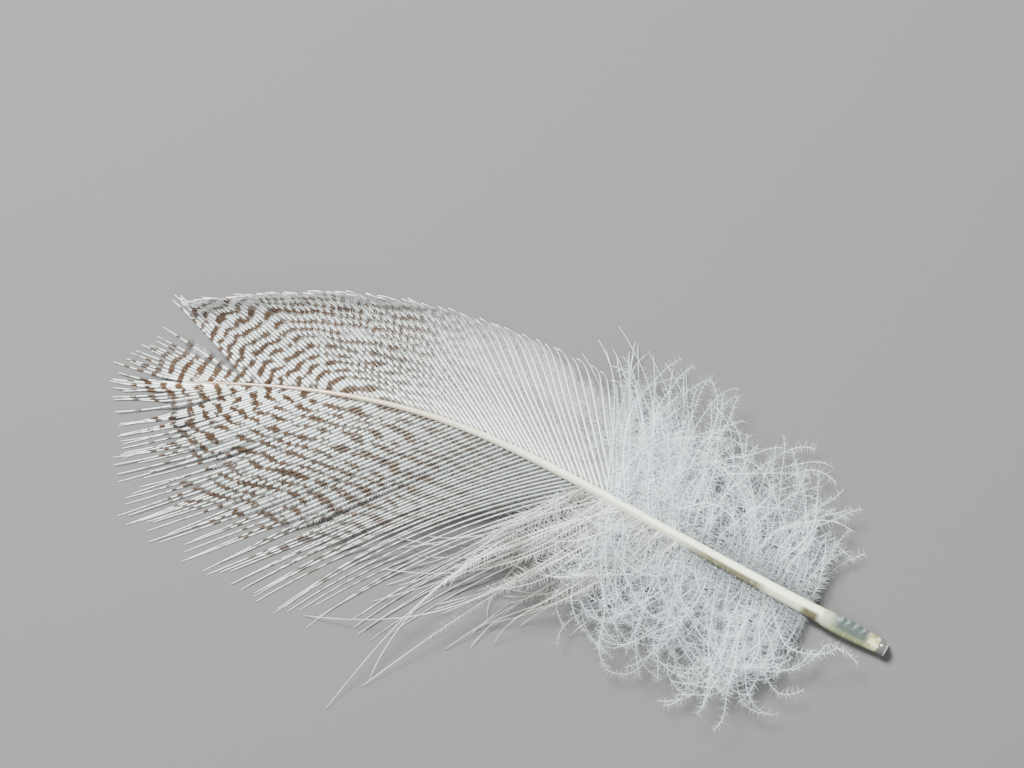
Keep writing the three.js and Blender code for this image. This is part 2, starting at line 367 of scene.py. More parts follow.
# Pith: the dried core of the growing feather, left in the quill as a row of thin nested cups.
# The cup nearest the cut end is a thicker yellow plug.
PITH_STATIONS = (1.25, 2.05, 2.6, 3.3, 3.85, 4.5, 5.05)
PITH_TILTS = (0.05, -0.3, 0.2, -0.35, 0.3, -0.15, 0.25)
PITH_CUP = ((0.0, 0.15), (0.05, 0.6), (0.3, 0.94), (0.4, 0.88), (0.16, 0.5), (0.12, 0.12))
PLUG_STRETCH = 2.0
PITH_STOPS = ((0.3, 0.62, 0.71, 0.72), (0.7, 0.92, 0.95, 0.93))
PITH_GRAIN = 2600.0
PITH_YELLOW = (0.84, 0.78, 0.45)
YELLOW_HEAD = (2.3, 1.8)


def pith_material():
    """Dry papery pith, yellow at the cut end and blue white further in."""
    material, tree = new_material("dry pith")
    papery = colour_ramp(tree, noise(tree, object_place(tree), PITH_GRAIN, detail=3.0), PITH_STOPS)
    yellow = fade(tree, attribute(tree, "station"), *YELLOW_HEAD)
    pith = mix_colours(tree, yellow, papery, PITH_YELLOW)
    shader = add_node(tree, "ShaderNodeBsdfPrincipled", {"Base Color": pith, "Roughness": 0.7})
    show(tree, shader)
    return material


pith_build = horn_build()
lumen_stations, lumen_radii = zip(*reversed(QUILL_LUMEN))
for cup, (foot, tilt) in enumerate(zip(PITH_STATIONS, PITH_TILTS)):
    stretch = 1.0 if cup else PLUG_STRETCH
    stations = [foot + rise * stretch for rise, _ in PITH_CUP]
    widths = [np.interp(station, lumen_stations, lumen_radii) * width
              for station, (_, width) in zip(stations, PITH_CUP)]
    corners = draw_tube(pith_build, list(zip(stations, widths)))
    hinge = ring_matrix(foot, 1)
    bmesh.ops.rotate(pith_build, cent=hinge.translation, verts=corners,
                     matrix=Matrix.Rotation(tilt, 3, hinge.to_3x3().col[1].normalized()))
smooth_horn(pith_build)
dress(finish_mesh("pith", pith_build, pith_material()))

# Vanes: rows of flat barbs along both sides of the shaft, each fringed with fine barbules that hook
# onto its neighbour. All of it is soft keratin that grew with the shaft.
# The upper margin is rolled up, and the barbs of the lower one part into small bunches.
LOWER_BARBS = np.array([
    (25, 26, 42, 64), (32, 30, 38, 63), (38.5, 28.8, 46, 49), (49, 27, 38, 33), (58, 18, 28, 18),
    (62.5, 13, 26, 9), (64.5, 10.9, 15, 1), (67.8, 8, 4, -6), (69.2, 6.9, 0, -8),
])
UPPER_BARBS = np.array([
    (25, 13, 58, 63), (30, 14.2, 44, 48), (36, 16.7, 35, 38), (45, 17, 33, 33), (50, 16.6, 34, 31),
    (54, 16, 35, 31), (57, 15.2, 37, 31), (60, 13.2, 39, 34), (63.2, 10.4, 45, 41), (63.8, 8.8, 30, 21),
    (66.5, 7.7, 25, 20), (69.2, 7, 9, 17),
])
LOWER_CLOSED = ((25, 0.16), (32, 0.28), (34.5, 0.58), (38.5, 0.68), (46, 0.75), (58, 0.68), (69, 0.45))
UPPER_CLOSED = ((25, 0.6), (32, 0.9), (60, 0.95), (63, 0.7), (69, 0.45))
VANE_START = 25.0
VANE_END = 69.1
BARBS_PER_VANE = 82
BARB_STEPS = 24
BARB_HALF_WIDTH = 0.08
BARB_HALF_HEIGHT = 0.1
WEB_SPACING = 0.105
WEB_HALF_WIDTH = 0.05
WEB_ANGLE = 45
WEB_REACHES = (0.22, 0.95)
WEB_OVERLAP = 1.15
OPENING = (-0.06, 0.08)
OPEN_REACH = 0.3
OPEN_TAPER = 0.5
TABLE_GAP = 0.03
VANE_DROP = 0.16
VANE_ARCH = 1.6
ROOT_DEPTH = 0.8
LOWER_TOUCH = 0.72
UPPER_TOUCH = 0.5
ROLL_STATIONS = (30, 38, 48, 58)
ROLL_STARTS = (7.8, 6.6, 5.5, 4.8)
ROLL_RADIUS = 1.7
ROLL_OPENS = (59.5, 62.5)
BUNCH_SIZES = (2, 6)
LOWER_PULLS = (0.15, 0.7)
UPPER_PULLS = (0.0, 0.12)
BUNCH_SHARES = (0.55, 1.1)
STRAY_SHARE = 0.07
STRAY_WANDER = 4.0
SHORT_LOSS = 0.12
TIP_WANDER = np.array((0.22, 0.22, 0.1))
UPPER_CALM = 0.45
STATION_JITTER = 0.03
LENGTH_JITTER = 0.025
BARB_TAPER = 0.7
TAPER_POWER = 1.6
BARBULE_SEATS = (0.1, 0.9)
BARBULE_LENGTHS = (0.8, 1.15)
BARBULE_TAPER = 0.4
TIP_LEAD = 0.7
STRIP_HALF = 0.48
STRIP_MARGIN = 0.01
STRAND_LEANS = (0.3, 0.1, -0.3, -0.1)
BARBULE_LEANS = (0.3, 0.2, 0.1, 0.95)


def smooth_step(value, low, high):
    """0 below low, 1 above high, and a smooth rise between."""
    share = np.clip((value - low) / (high - low), 0, 1)
    return share * share * (3 - 2 * share)


def barb_reach(length, root_angle, tip_angle, share):
    """Distances along and across the shaft on a barb that bends evenly from one angle to another."""
    early = (2 * share - share ** 2) * length * 0.5
    late = share ** 2 * length * 0.5
    root, tip = np.radians(root_angle), np.radians(tip_angle)
    return early * np.cos(root) + late * np.cos(tip), early * np.sin(root) + late * np.sin(tip)


def vane_lines(side, station, share, stretch):
    """Points of barbs and the way their upper faces look: a row per station and a column per share.

    A row of the barb tables is station, length, angle at the root and angle at the tip.
    """
    table = UPPER_BARBS if side > 0 else LOWER_BARBS
    length, root_angle, tip_angle = (np.interp(station, table[:, 0], table[:, column])[:, None]
                                     for column in (1, 2, 3))
    along_run, across = barb_reach(length * stretch[:, None], root_angle, tip_angle, share)
    point, along, out = root_frame(station)
    touch = UPPER_TOUCH if side > 0 else LOWER_TOUCH
    fall = 1 - np.clip(share / touch, 0, 1) ** VANE_ARCH
    height = np.maximum(0, point[:, None, 2] - VANE_DROP) * fall + BARB_HALF_HEIGHT
    turn = np.zeros_like(across)
    if side > 0:
        roll_start = np.interp(station, ROLL_STATIONS, ROLL_STARTS)[:, None]
        opening = smooth_step(station, *ROLL_OPENS)[:, None]
        past = np.maximum(0, across - roll_start)
        turn = past / ROLL_RADIUS * (1 - opening)
        across = np.minimum(across, roll_start) + past * opening + ROLL_RADIUS * np.sin(turn)
        height = height + ROLL_RADIUS * (1 - np.cos(turn))
    outward = side * out[:, None]
    across = across + ROOT_DEPTH * shaft_radius(station)[:, None]
    points = point[:, None] + along_run[..., None] * along[:, None] + across[..., None] * outward
    points[..., 2] = height
    faces = -np.sin(turn)[..., None] * outward
    faces[..., 2] = np.cos(turn)
    return points, unit(faces)


def strand_arrays(points, faces, half_width, half_height):
    """Four-sided strands through rows of points: their corners and their quads, with both ends closed."""
    rows, columns = points.shape[:2]
    ahead = unit(np.gradient(points, axis=1))
    side = unit(np.cross(faces, ahead))
    over = np.cross(ahead, side)
    wide = side * half_width[..., None]
    tall = over * half_height[..., None]
    corners = np.stack([points + wide, points + tall, points - wide, points - tall], axis=2)
    index = np.arange(rows * columns * 4).reshape(rows, columns, 4)
    near, far = index[:, :-1], index[:, 1:]
    walls = np.stack([near, np.roll(near, -1, 2), np.roll(far, -1, 2), far], axis=-1).reshape(-1, 4)
    ends = np.concatenate([index[:, 0, ::-1], index[:, -1]])
    return corners.reshape(-1, 3), np.concatenate([walls, ends])


def barbule_arrays(roots, ahead, over, tips, half_width):
    """Closed slivers with three corners in the barb and one at the tip of the barbule."""
    width = half_width[:, None]
    first, second = roots + ahead * width, roots - ahead * width
    third = roots + over * width
    inward = np.einsum("ij,ij->i", np.cross(second - first, third - first), tips - first) > 0
    first[inward], second[inward] = second[inward].copy(), first[inward].copy()
    corners = np.stack([first, second, third, tips], axis=1)
    index = np.arange(len(roots))[:, None, None] * 4
    triangles = index + np.array([(0, 1, 2), (0, 3, 1), (1, 3, 2), (2, 3, 0)])
    return corners.reshape(-1, 3), triangles.reshape(-1, 3)


def joined_piece(name, strands, barbules, numbers, places, material):
    """One mesh object of strands and barbules, with numbers at its corners for the material."""
    strand_corners, quads = strands
    barbule_corners, triangles = barbules
    corners = np.concatenate([strand_corners, barbule_corners])
    triangles = triangles + len(strand_corners)
    loops = np.concatenate([quads.ravel(), triangles.ravel()]).astype(np.int32)
    sizes = np.concatenate([np.full(len(quads), 4), np.full(len(triangles), 3)])
    starts = np.concatenate([[0], np.cumsum(sizes)[:-1]]).astype(np.int32)
    mesh = bpy.data.meshes.new(name)
    mesh.vertices.add(len(corners))
    mesh.vertices.foreach_set("co", (corners * MM).astype(np.float32).ravel())
    mesh.loops.add(len(loops))
    mesh.loops.foreach_set("vertex_index", loops)
    mesh.polygons.add(len(sizes))
    mesh.polygons.foreach_set("loop_start", starts)
    for label, values in numbers.items():
        layer = mesh.attributes.new(label, "FLOAT", "POINT")
        layer.data.foreach_set("value", values.astype(np.float32))
    layout = mesh.uv_layers.new(name="OFBake")
    layout.uv.foreach_set("vector", places[loops].astype(np.float32).ravel())
    mesh.update(calc_edges=True)
    mesh.materials.append(material)
    piece = bpy.data.objects.new(name, mesh)
    bpy.context.collection.objects.link(piece)
    return piece


def resample(values, row, share):
    """Values kept at even steps along rows, read at one share of each of the given rows."""
    place = share * (values.shape[1] - 1)
    low = np.clip(np.floor(place).astype(int), 0, values.shape[1] - 2)
    part = (place - low).reshape(-1, *[1] * (values.ndim - 2))
    return values[row, low] * (1 - part) + values[row, low + 1] * part


def fringed_piece(name, points, faces, width, height, fringe, numbers, material, chance):
    """Strands through rows of points, each with a fringe of barbules on both sides.

    fringe gives the barbules' spacing, half width, angle and lean, and a function for their length.
    """
    rows, columns = points.shape[:2]
    strands = strand_arrays(points, faces, width, height)
    steps = np.linalg.norm(np.diff(points, axis=1), axis=2)
    run = np.concatenate([np.zeros((rows, 1)), np.cumsum(steps, axis=1)], axis=1)
    length = run[:, -1]
    count = np.maximum(4, (length / fringe["spacing"]).astype(int))
    barb = np.repeat(np.arange(rows), count)
    order = np.arange(len(barb)) - np.repeat(np.cumsum(count) - count, count)
    ahead = unit(np.gradient(points, axis=1))
    corners, triangles, shares, leans = [], [], [], []
    for hand in (-1, 1):
        place = (order + chance.uniform(*BARBULE_SEATS, len(barb))) / count[barb] * fringe["until"]
        spot = resample(points, barb, place)
        forward = unit(resample(ahead, barb, place))
        face = unit(resample(faces, barb, place))
        sideways = np.cross(face, forward)
        angle = np.radians(fringe["angle"] + chance.normal(0, fringe["stray"], len(barb)))[:, None]
        lean = (fringe["lean"] + chance.normal(0, fringe["ruffle"], len(barb)))[:, None]
        reach = fringe["length"](place, barb) * chance.uniform(*BARBULE_LENGTHS, len(barb))
        heading = unit(np.cos(angle) * forward + np.sin(angle) * hand * sideways + lean * face)
        tips = spot + heading * reach[:, None]
        tips[:, 2] = np.where(tips[:, 2] < TABLE_GAP, 2 * TABLE_GAP - tips[:, 2], tips[:, 2])
        half = fringe["half_width"] * (1 - BARBULE_TAPER * place)
        sliver_corners, sliver_triangles = barbule_arrays(spot, forward, face, tips, half)
        triangles.append(sliver_triangles + sum(len(part) for part in corners))
        corners.append(sliver_corners)
        tip_lead = np.tile((0, 0, 0, 1.0), len(barb)) * np.repeat(reach / length[barb], 4) * TIP_LEAD
        shares.append(np.clip(np.repeat(place, 4) + tip_lead, 0, 1))
        leans.append(np.tile(BARBULE_LEANS, len(barb)) * hand)
    share = np.concatenate([np.repeat((run / length[:, None]).ravel(), 4), *shares])
    owner = np.concatenate([np.repeat(np.arange(rows), columns * 4), np.tile(np.repeat(barb, 4), 2)])
    lean = np.concatenate([np.tile(STRAND_LEANS, rows * columns), *leans])
    kept = {label: values[owner] for label, values in numbers.items()}
    kept["barb"] = owner
    kept["share"] = share
    kept["reach"] = length[owner] * share
    kept["web"] = np.concatenate([np.zeros(len(strands[0])), np.ones(len(owner) - len(strands[0]))])
    strip = (owner + 0.5 + STRIP_HALF * lean) / rows
    places = np.stack([strip, STRIP_MARGIN + (1 - 2 * STRIP_MARGIN) * share], axis=-1)
    slivers = np.concatenate(corners), np.concatenate(triangles)
    return joined_piece(name, strands, slivers, kept, places, material)


def web_fringe(side, station, points):
    """Short stiff barbules that just reach the next barb, and stay short where the barbs have parted."""
    ahead = unit(np.gradient(points, axis=1))
    between = np.linalg.norm(np.cross(np.diff(points, axis=0), ahead[:-1]), axis=2)
    gap = np.concatenate([between[:1], np.minimum(between[1:], between[:-1]), between[-1:]])
    reaches = np.clip(WEB_OVERLAP * gap / math.sin(math.radians(WEB_ANGLE)), *WEB_REACHES)
    closed = np.interp(station, *zip(*(UPPER_CLOSED if side > 0 else LOWER_CLOSED)))

    def length(place, barb):
        opened = smooth_step(place, closed[barb] + OPENING[0], closed[barb] + OPENING[1])
        alone = OPEN_REACH * (1 - OPEN_TAPER * place)
        return resample(reaches, barb, place) * (1 - opened) + alone * opened

    return {
        "spacing": WEB_SPACING,
        "until": 0.97,
        "half_width": WEB_HALF_WIDTH,
        "angle": WEB_ANGLE,
        "stray": 5,
        "lean": -0.1,
        "ruffle": 0.05,
        "length": length,
    }


def vane_piece(name, side, material, seed):
    """All barbs of one vane, drawn together into bunches near the margin, with a few strays."""
    chance = np.random.default_rng(seed)
    count = BARBS_PER_VANE
    station = np.linspace(VANE_START, VANE_END, count) + chance.normal(0, STATION_JITTER, count)
    share = np.linspace(0, 1, BARB_STEPS)
    stretch = 1 + chance.normal(0, LENGTH_JITTER, count)
    stretch = stretch - SHORT_LOSS * (chance.uniform(0, 1, count) < STRAY_SHARE)
    sizes = chance.integers(*BUNCH_SIZES, count, endpoint=True)
    bunch = np.repeat(np.arange(count), sizes)[:count]
    middle = np.array([station[bunch == number].mean() for number in bunch])
    own, faces = vane_lines(side, station, share[None], stretch)
    shared, _ = vane_lines(side, middle, share[None], stretch)
    pulls = chance.uniform(*(UPPER_PULLS if side > 0 else LOWER_PULLS), count)
    pull = pulls[bunch][:, None] * smooth_step(share, *BUNCH_SHARES)
    points = own + (shared - own) * pull[..., None]
    strays = (chance.uniform(0, 1, count) < STRAY_SHARE) & ((side < 0) | (station > ROLL_OPENS[1]))
    stray = np.where(strays, STRAY_WANDER, 1.0)[:, None, None]
    wander = TIP_WANDER * (UPPER_CALM if side > 0 else 1)
    points += stray * chance.normal(0, 1, (count, 1, 3)) * wander * share[:, None] ** 3
    points[..., 2] = np.maximum(points[..., 2], BARB_HALF_HEIGHT)
    taper = np.broadcast_to(1 - BARB_TAPER * share ** TAPER_POWER, points.shape[:2])
    piece = fringed_piece(name, points, faces, BARB_HALF_WIDTH * taper, BARB_HALF_HEIGHT * taper,
                          web_fringe(side, station, points), {"station": station}, material, chance)
    dress(piece)


BROWNS = ((0.0, 0.045, 0.02, 0.005), (1.0, 0.1, 0.048, 0.016))
WHITES = ((0.3, 0.82, 0.88, 0.84), (0.65, 0.91, 0.96, 0.92))
# Painted shade: the first grey darkens the barbules between the barbs, the second the whole foot of the
# lower vane.
WEB_SHADE_GREY = (0.08, 0.092, 0.088)
FOOT_SHADE_GREY = (0.13, 0.15, 0.14)
SLOW_SCALE = 0.26
QUICK_SCALE = 0.75
BAR_TURN = 0.85
TURN_SOFTNESS = 3.0
BAR_WARP = 13.0
BAR_JITTER = 0.9
BAR_EDGE = (-0.2, 0.3)
TIP_FADE = 0.12
FOOT_PLACES = (-24, 2)
FOOT_STRENGTH = 0.45
BARB_GLOW = 0.25


def show_glowing(tree, shader, colour, glow_share):
    """The shader becomes the surface, and lets a share of the light through as a thin barb does."""
    glow = add_node(tree, "ShaderNodeBsdfTranslucent", {"Color": colour})
    blend = {0: glow_share, 1: shader.outputs[0], 2: glow.outputs[0]}
    show(tree, add_node(tree, "ShaderNodeMixShader", blend))


def barred_material(name, period, bars, turn_from, breaks, painted_web_shade, foot_shade, white_tip):
    """White barbs and barbules greyed by painted shade, crossed by wavy brown bars that break up and fade to
    the foot.

    bars gives the places along the feather between which the bars fade. The painted shade of the barbules
    is given near the tip and near the foot, where painted shade may darken the whole vane too.
    """
    material, tree = new_material(name)
    station = attribute(tree, "station")
    reach = attribute(tree, "reach")
    along = add_node(tree, "ShaderNodeCombineXYZ", {0: station, 1: reach}).outputs[0]
    slow = noise(tree, along, SLOW_SCALE, detail=1.5)
    quick = noise(tree, along, QUICK_SCALE, detail=2.0)
    each = add_node(tree, "ShaderNodeTexWhiteNoise", {"W": attribute(tree, "barb")}, noise_dimensions="1D")
    past = math_node(tree, "SMOOTH_MAX", math_node(tree, "SUBTRACT", station, turn_from), 0.0, TURN_SOFTNESS)
    bar_line = math_node(tree, "ADD", reach, math_node(tree, "MULTIPLY", past, BAR_TURN))
    phase = math_node(tree, "MULTIPLY", bar_line, 2 * math.pi / period)
    warp = math_node(tree, "MULTIPLY", slow, BAR_WARP)
    jitter = math_node(tree, "MULTIPLY", each.outputs["Value"], BAR_JITTER)
    wave = math_node(tree, "SINE", math_node(tree, "ADD", math_node(tree, "ADD", phase, warp), jitter))
    marked = math_node(tree, "MULTIPLY", fade(tree, wave, *BAR_EDGE), fade(tree, quick, *breaks))
    along_feather = add_node(tree, "ShaderNodeSeparateXYZ", {0: object_place(tree)}).outputs[0]
    foot = fade(tree, along_feather, bars[0] * MM, bars[1] * MM, 1.0, 0.0)
    tip = fade(tree, attribute(tree, "share"), white_tip, white_tip + TIP_FADE, 1.0, 0.0)
    web = attribute(tree, "web")
    footward = fade(tree, along_feather, FOOT_PLACES[0] * MM, FOOT_PLACES[1] * MM)
    strength = math_node(tree, "MAXIMUM", web, fade(tree, footward, 0.0, 1.0, 1.0, FOOT_STRENGTH))
    shown = math_node(tree, "MULTIPLY", math_node(tree, "MULTIPLY", foot, tip), strength)
    brown_share = math_node(tree, "MULTIPLY", marked, shown)
    white = colour_ramp(tree, quick, WHITES)
    # Painted shade: the barbules are greyed between the barbs, and the foot of the lower vane is darkened as
    # a whole.
    web_shade_share = math_node(tree, "MULTIPLY", web, fade(tree, footward, 0.0, 1.0, *painted_web_shade))
    web_shaded = mix_colours(tree, web_shade_share, white, WEB_SHADE_GREY)
    foot_shaded = mix_colours(tree, math_node(tree, "MULTIPLY", footward, foot_shade), web_shaded, FOOT_SHADE_GREY)
    brown = colour_ramp(tree, each.outputs["Value"], BROWNS)
    keratin = mix_colours(tree, brown_share, foot_shaded, brown)
    shader = add_node(tree, "ShaderNodeBsdfPrincipled", {"Base Color": keratin, "Roughness": 0.5})
    shader.inputs["Specular IOR Level"].default_value = 0.25
    shader.inputs["Sheen Weight"].default_value = 0.05
    show_glowing(tree, shader, keratin, BARB_GLOW)
    return material


lower_keratin = barred_material(
    "lower barred keratin", period=1.5, bars=(-10, 8), turn_from=56, breaks=(0.36, 0.5),
    painted_web_shade=(0.54, 0.82), foot_shade=0.6, white_tip=0.82,
)
upper_keratin = barred_material(
    "upper barred keratin", period=1.2, bars=(-15, -2), turn_from=53, breaks=(0.33, 0.46),
    painted_web_shade=(0.46, 0.4), foot_shade=0.0, white_tip=0.88,
)
vane_piece("lower_vane", side=-1, material=lower_keratin, seed=11)
vane_piece("upper_vane", side=1, material=upper_keratin, seed=12)

# Loose barbs: at the foot of the vane the barbs no longer hook together. Those of the lower side hang out
# below the vane, downy along most of their length and bare like hairs at their tips.
# Each row of a table is station, length, angle at the root, angle at the tip and height of the arch.
LONG_STRAYS = np.array([
    (29.5, 32.8, 50, 84, 1.6), (27.5, 32.2, 74, 26, 2.2), (26.5, 31, 38, 80, 3), (25, 30, 54, 64, 1.2),
    (28.5, 24.2, 62, 40, 0.8), (26, 21.2, 68, 38, 2.4), (24, 23.2, 64, 48, 0.6), (23, 19.2, 76, 40, 3),
    (26, 16.4, 70, -10, 2.6), (24.5, 23, 84, -12, 3.2),
])
LOWER_LOOSE = ((21, 12, 46, 26, 0.2), (31, 22, 76, 70, 2.8), 32)
UPPER_LOOSE = ((21, 12, 52, 46, 0.4), (29, 16, 72, 80, 3.0), 24)
LOOSE_STEPS = 30
LOOSE_HALF_WIDTH = 0.055
LOOSE_TAPER = 0.6
LOOSE_TWIST = 0.35
LOOSE_LIFT = 0.2
LOOSE_GAP = 0.12
SWAYS = (0.1, 0.6)
SWAY_PACES = (4, 9)
HOOK_SPREAD = 2.0
HOOK_POWER = 5
LOWER_BARE_FROM = 0.75
UPPER_BARE_FROM = 0.95
BARE_SPREAD = (-0.2, 0.1)
BARE_FADE = 0.3
SHORTEST_BARBULE = 0.1
SOFT_BARBULE = 1.15
LOOSE_FRINGE = {
    "spacing": 0.31,
    "until": 0.95,
    "half_width": 0.035,
    "angle": 55,
    "stray": 9,
    "lean": 0.0,
    "ruffle": 0.25,
}
# The third colour of each is painted shade for threads that lie low near the table.
LOOSE_COLOURS = (0.86, 0.88, 0.86), (0.34, 0.3, 0.25), (0.075, 0.072, 0.065)
DOWN_COLOURS = (0.84, 0.92, 0.94), (0.6, 0.68, 0.7), (0.075, 0.084, 0.09)
PATCH_SCALE = 160.0
PATCH_EDGE = (0.35, 0.65, 0.0, 0.7)
LOW_SHADE_HEIGHTS = (0.3, 3.3)
LOW_SHADE_STRENGTH = 0.9
UNSHADED_TIPS = (0.95, 0.6)
THREAD_GLOW = 0.35


def loose_table(first, last, count, chance):
    """Rows for loose barbs drawn between a first and a last row."""
    return chance.uniform(first, last, (count, len(first)))


def loose_lines(side, table, chance):
    """Points of loose barbs that arch out from the shaft, sway a little and hook at their tips."""
    count = len(table)
    share = np.linspace(0, 1, LOOSE_STEPS)
    station = table[:, 0]
    length, root_angle, tip_angle, height = table[:, 1:].T[..., None]
    along_run, across = barb_reach(length, root_angle, tip_angle, share)
    point, along, out = root_frame(station)
    outward = side * out[:, None]
    points = point[:, None] + along_run[..., None] * along[:, None] + across[..., None] * outward
    sway = chance.uniform(*SWAYS, (count, 1)) * np.sin(share * chance.uniform(*SWAY_PACES, (count, 1)))
    hook = chance.normal(0, HOOK_SPREAD, (count, 1)) * share ** HOOK_POWER
    points += (sway * share + hook)[..., None] * along[:, None]
    points[..., 2] = point[:, None, 2] * (1 - share) + height * np.sin(np.pi * share) + LOOSE_LIFT
    return points


def turned_faces(points, chance, twist):
    """Directions across each strand that turn slowly along it, so that its fringe isn't flat."""
    rows, columns = points.shape[:2]
    ahead = unit(np.gradient(points, axis=1))
    level = unit(np.cross(ahead, (0.0, 0.0, 1.0)))
    over = np.cross(level, ahead)
    start = chance.normal(0, twist, (rows, 1))
    turn = start + chance.normal(0, twist, (rows, 1)) * np.linspace(0, 1, columns)
    return np.cos(turn)[..., None] * over + np.sin(turn)[..., None] * level


def downy_material(name, light, shade, low_shade_colour):
    """Soft keratin threads in two tones that drift into each other, greyed by painted shade where they lie
    low.
    """
    material, tree = new_material(name)
    place = object_place(tree)
    patch = fade(tree, noise(tree, place, PATCH_SCALE, detail=3.0), *PATCH_EDGE)
    height = add_node(tree, "ShaderNodeSeparateXYZ", {0: place}).outputs[2]
    # Painted shade: threads lying low near the table grey towards the third colour, less at their tips.
    low_shade_share = fade(tree, height, LOW_SHADE_HEIGHTS[0] * MM, LOW_SHADE_HEIGHTS[1] * MM, LOW_SHADE_STRENGTH, 0.0)
    low = math_node(tree, "MULTIPLY", low_shade_share, fade(tree, attribute(tree, "share"), *UNSHADED_TIPS))
    thread = mix_colours(tree, low, mix_colours(tree, patch, light, shade), low_shade_colour)
    shader = add_node(tree, "ShaderNodeBsdfPrincipled", {"Base Color": thread, "Roughness": 0.45})
    show_glowing(tree, shader, thread, THREAD_GLOW)
    return material


def loose_piece(name, side, table, bare_from, material, chance):
    """Loose barbs whose long soft barbules shorten to nothing towards the bare tip."""
    points = loose_lines(side, table, chance)
    points[..., 2] = np.maximum(points[..., 2], LOOSE_GAP)
    bare = chance.uniform(bare_from + BARE_SPREAD[0], bare_from + BARE_SPREAD[1], len(table))

    def length(place, barb):
        downy = 1 - smooth_step(place, bare[barb] - BARE_FADE, bare[barb])
        return SHORTEST_BARBULE + SOFT_BARBULE * downy

    fringe = {**LOOSE_FRINGE, "length": length}
    taper = np.broadcast_to(1 - LOOSE_TAPER * np.linspace(0, 1, LOOSE_STEPS), points.shape[:2])
    piece = fringed_piece(name, points, turned_faces(points, chance, LOOSE_TWIST), LOOSE_HALF_WIDTH * taper,
                          LOOSE_HALF_WIDTH * taper, fringe, {}, material, chance)
    dress(piece)


loose_keratin = downy_material("half downy keratin", *LOOSE_COLOURS)
white_down = downy_material("white down", *DOWN_COLOURS)
loose_chance = np.random.default_rng(21)
lower_table = np.concatenate([LONG_STRAYS, loose_table(*LOWER_LOOSE, loose_chance)])
loose_piece("lower_loose_barbs", -1, lower_table, LOWER_BARE_FROM, loose_keratin, loose_chance)
upper_table = loose_table(*UPPER_LOOSE, loose_chance)
loose_piece("upper_loose_barbs", 1, upper_table, UPPER_BARE_FROM, white_down, loose_chance)

# Down: a cloud of fine soft barbs round the foot of the shaft, each with two rows of long barbules.
# They grow from the shaft below the vane, arch over the table and wander, and those that come to the rim
# of the cloud, an oval on each side of the shaft, tend to turn aside there.
DOWN_START = 7.8
DOWN_END = 28.5
DOWN_STEPS = 24
DOWN_HALF_WIDTH = 0.034
DOWN_TAPER = 0.5
DOWN_TWIST = 0.7
DOWN_GAP = 0.1
DOWN_BARBS = 165
DOWN_LENGTHS = (7.5, 16.0)
DOWN_FIRST = 0.42
DOWN_GROWTH = 2.6
DOWN_ANGLES = (92, 66)
DOWN_SPREAD = 24
DOWN_CURL = 3.6
DOWN_WAVERS = (2, 9)
WAVER_PACES = (0.4, 0.9)
WAVER_PHASES = (0, 6)
FREEDOM_FIRST = 0.3
FREEDOM_GROWTH = 2.5
DOWN_CLIMB = 57
CLIMB_POWER = 1.2
CLIMB_STEPS = 3
CLIMB_FALL = 1.65
DOWN_ROOT = 0.6
DOWN_ROOT_DROP = 0.5
CLOUD_CENTRE = (19.0, 5.6)
CLOUD_RADII = {-1: (15.4, 13.4), 1: (14.6, 14.0)}
CLOUD_HOLDS = {-1: 0.45, 1: 0.22}
CLOUD_LIMITS = (0.7, 1.15)
CLOUD_RIM = (0.75, 1.05)
SHAFT_MARGIN = (1.6, 3.2)
SHAFT_PUSH = 0.3
DOWN_BARBULE = 1.2
DOWN_BARBULE_LOSS = 0.4
DOWN_FRINGE = {
    "spacing": 0.24,
    "until": 0.99,
    "half_width": 0.023,
    "angle": 68,
    "stray": 20,
    "lean": 0.0,
    "ruffle": 0.5,
    "length": lambda place, barb: DOWN_BARBULE - DOWN_BARBULE_LOSS * place ** 2,
}


def turned_aside(heading, spot, side, limit):
    """Level headings with less of what leads out of the cloud or back over the shaft."""
    place = (spot[:, :2] - CLOUD_CENTRE) / CLOUD_RADII[side]
    outward = unit(place / CLOUD_RADII[side])
    escape = np.maximum(0, np.einsum("ij,ij->i", heading[:, :2], outward))
    near_rim = CLOUD_HOLDS[side] * smooth_step(np.linalg.norm(place, axis=1) / limit, *CLOUD_RIM)
    heading[:, :2] -= (near_rim * escape)[:, None] * outward
    shaft_y = np.interp(-spot[:, 0], -shaft_line[:, 0], shaft_line[:, 1])
    near_shaft = 1 - smooth_step(side * (spot[:, 1] - shaft_y), *SHAFT_MARGIN)
    heading[:, 1] += side * near_shaft * (SHAFT_PUSH + np.maximum(0, -side * heading[:, 1]))
    return unit(heading)


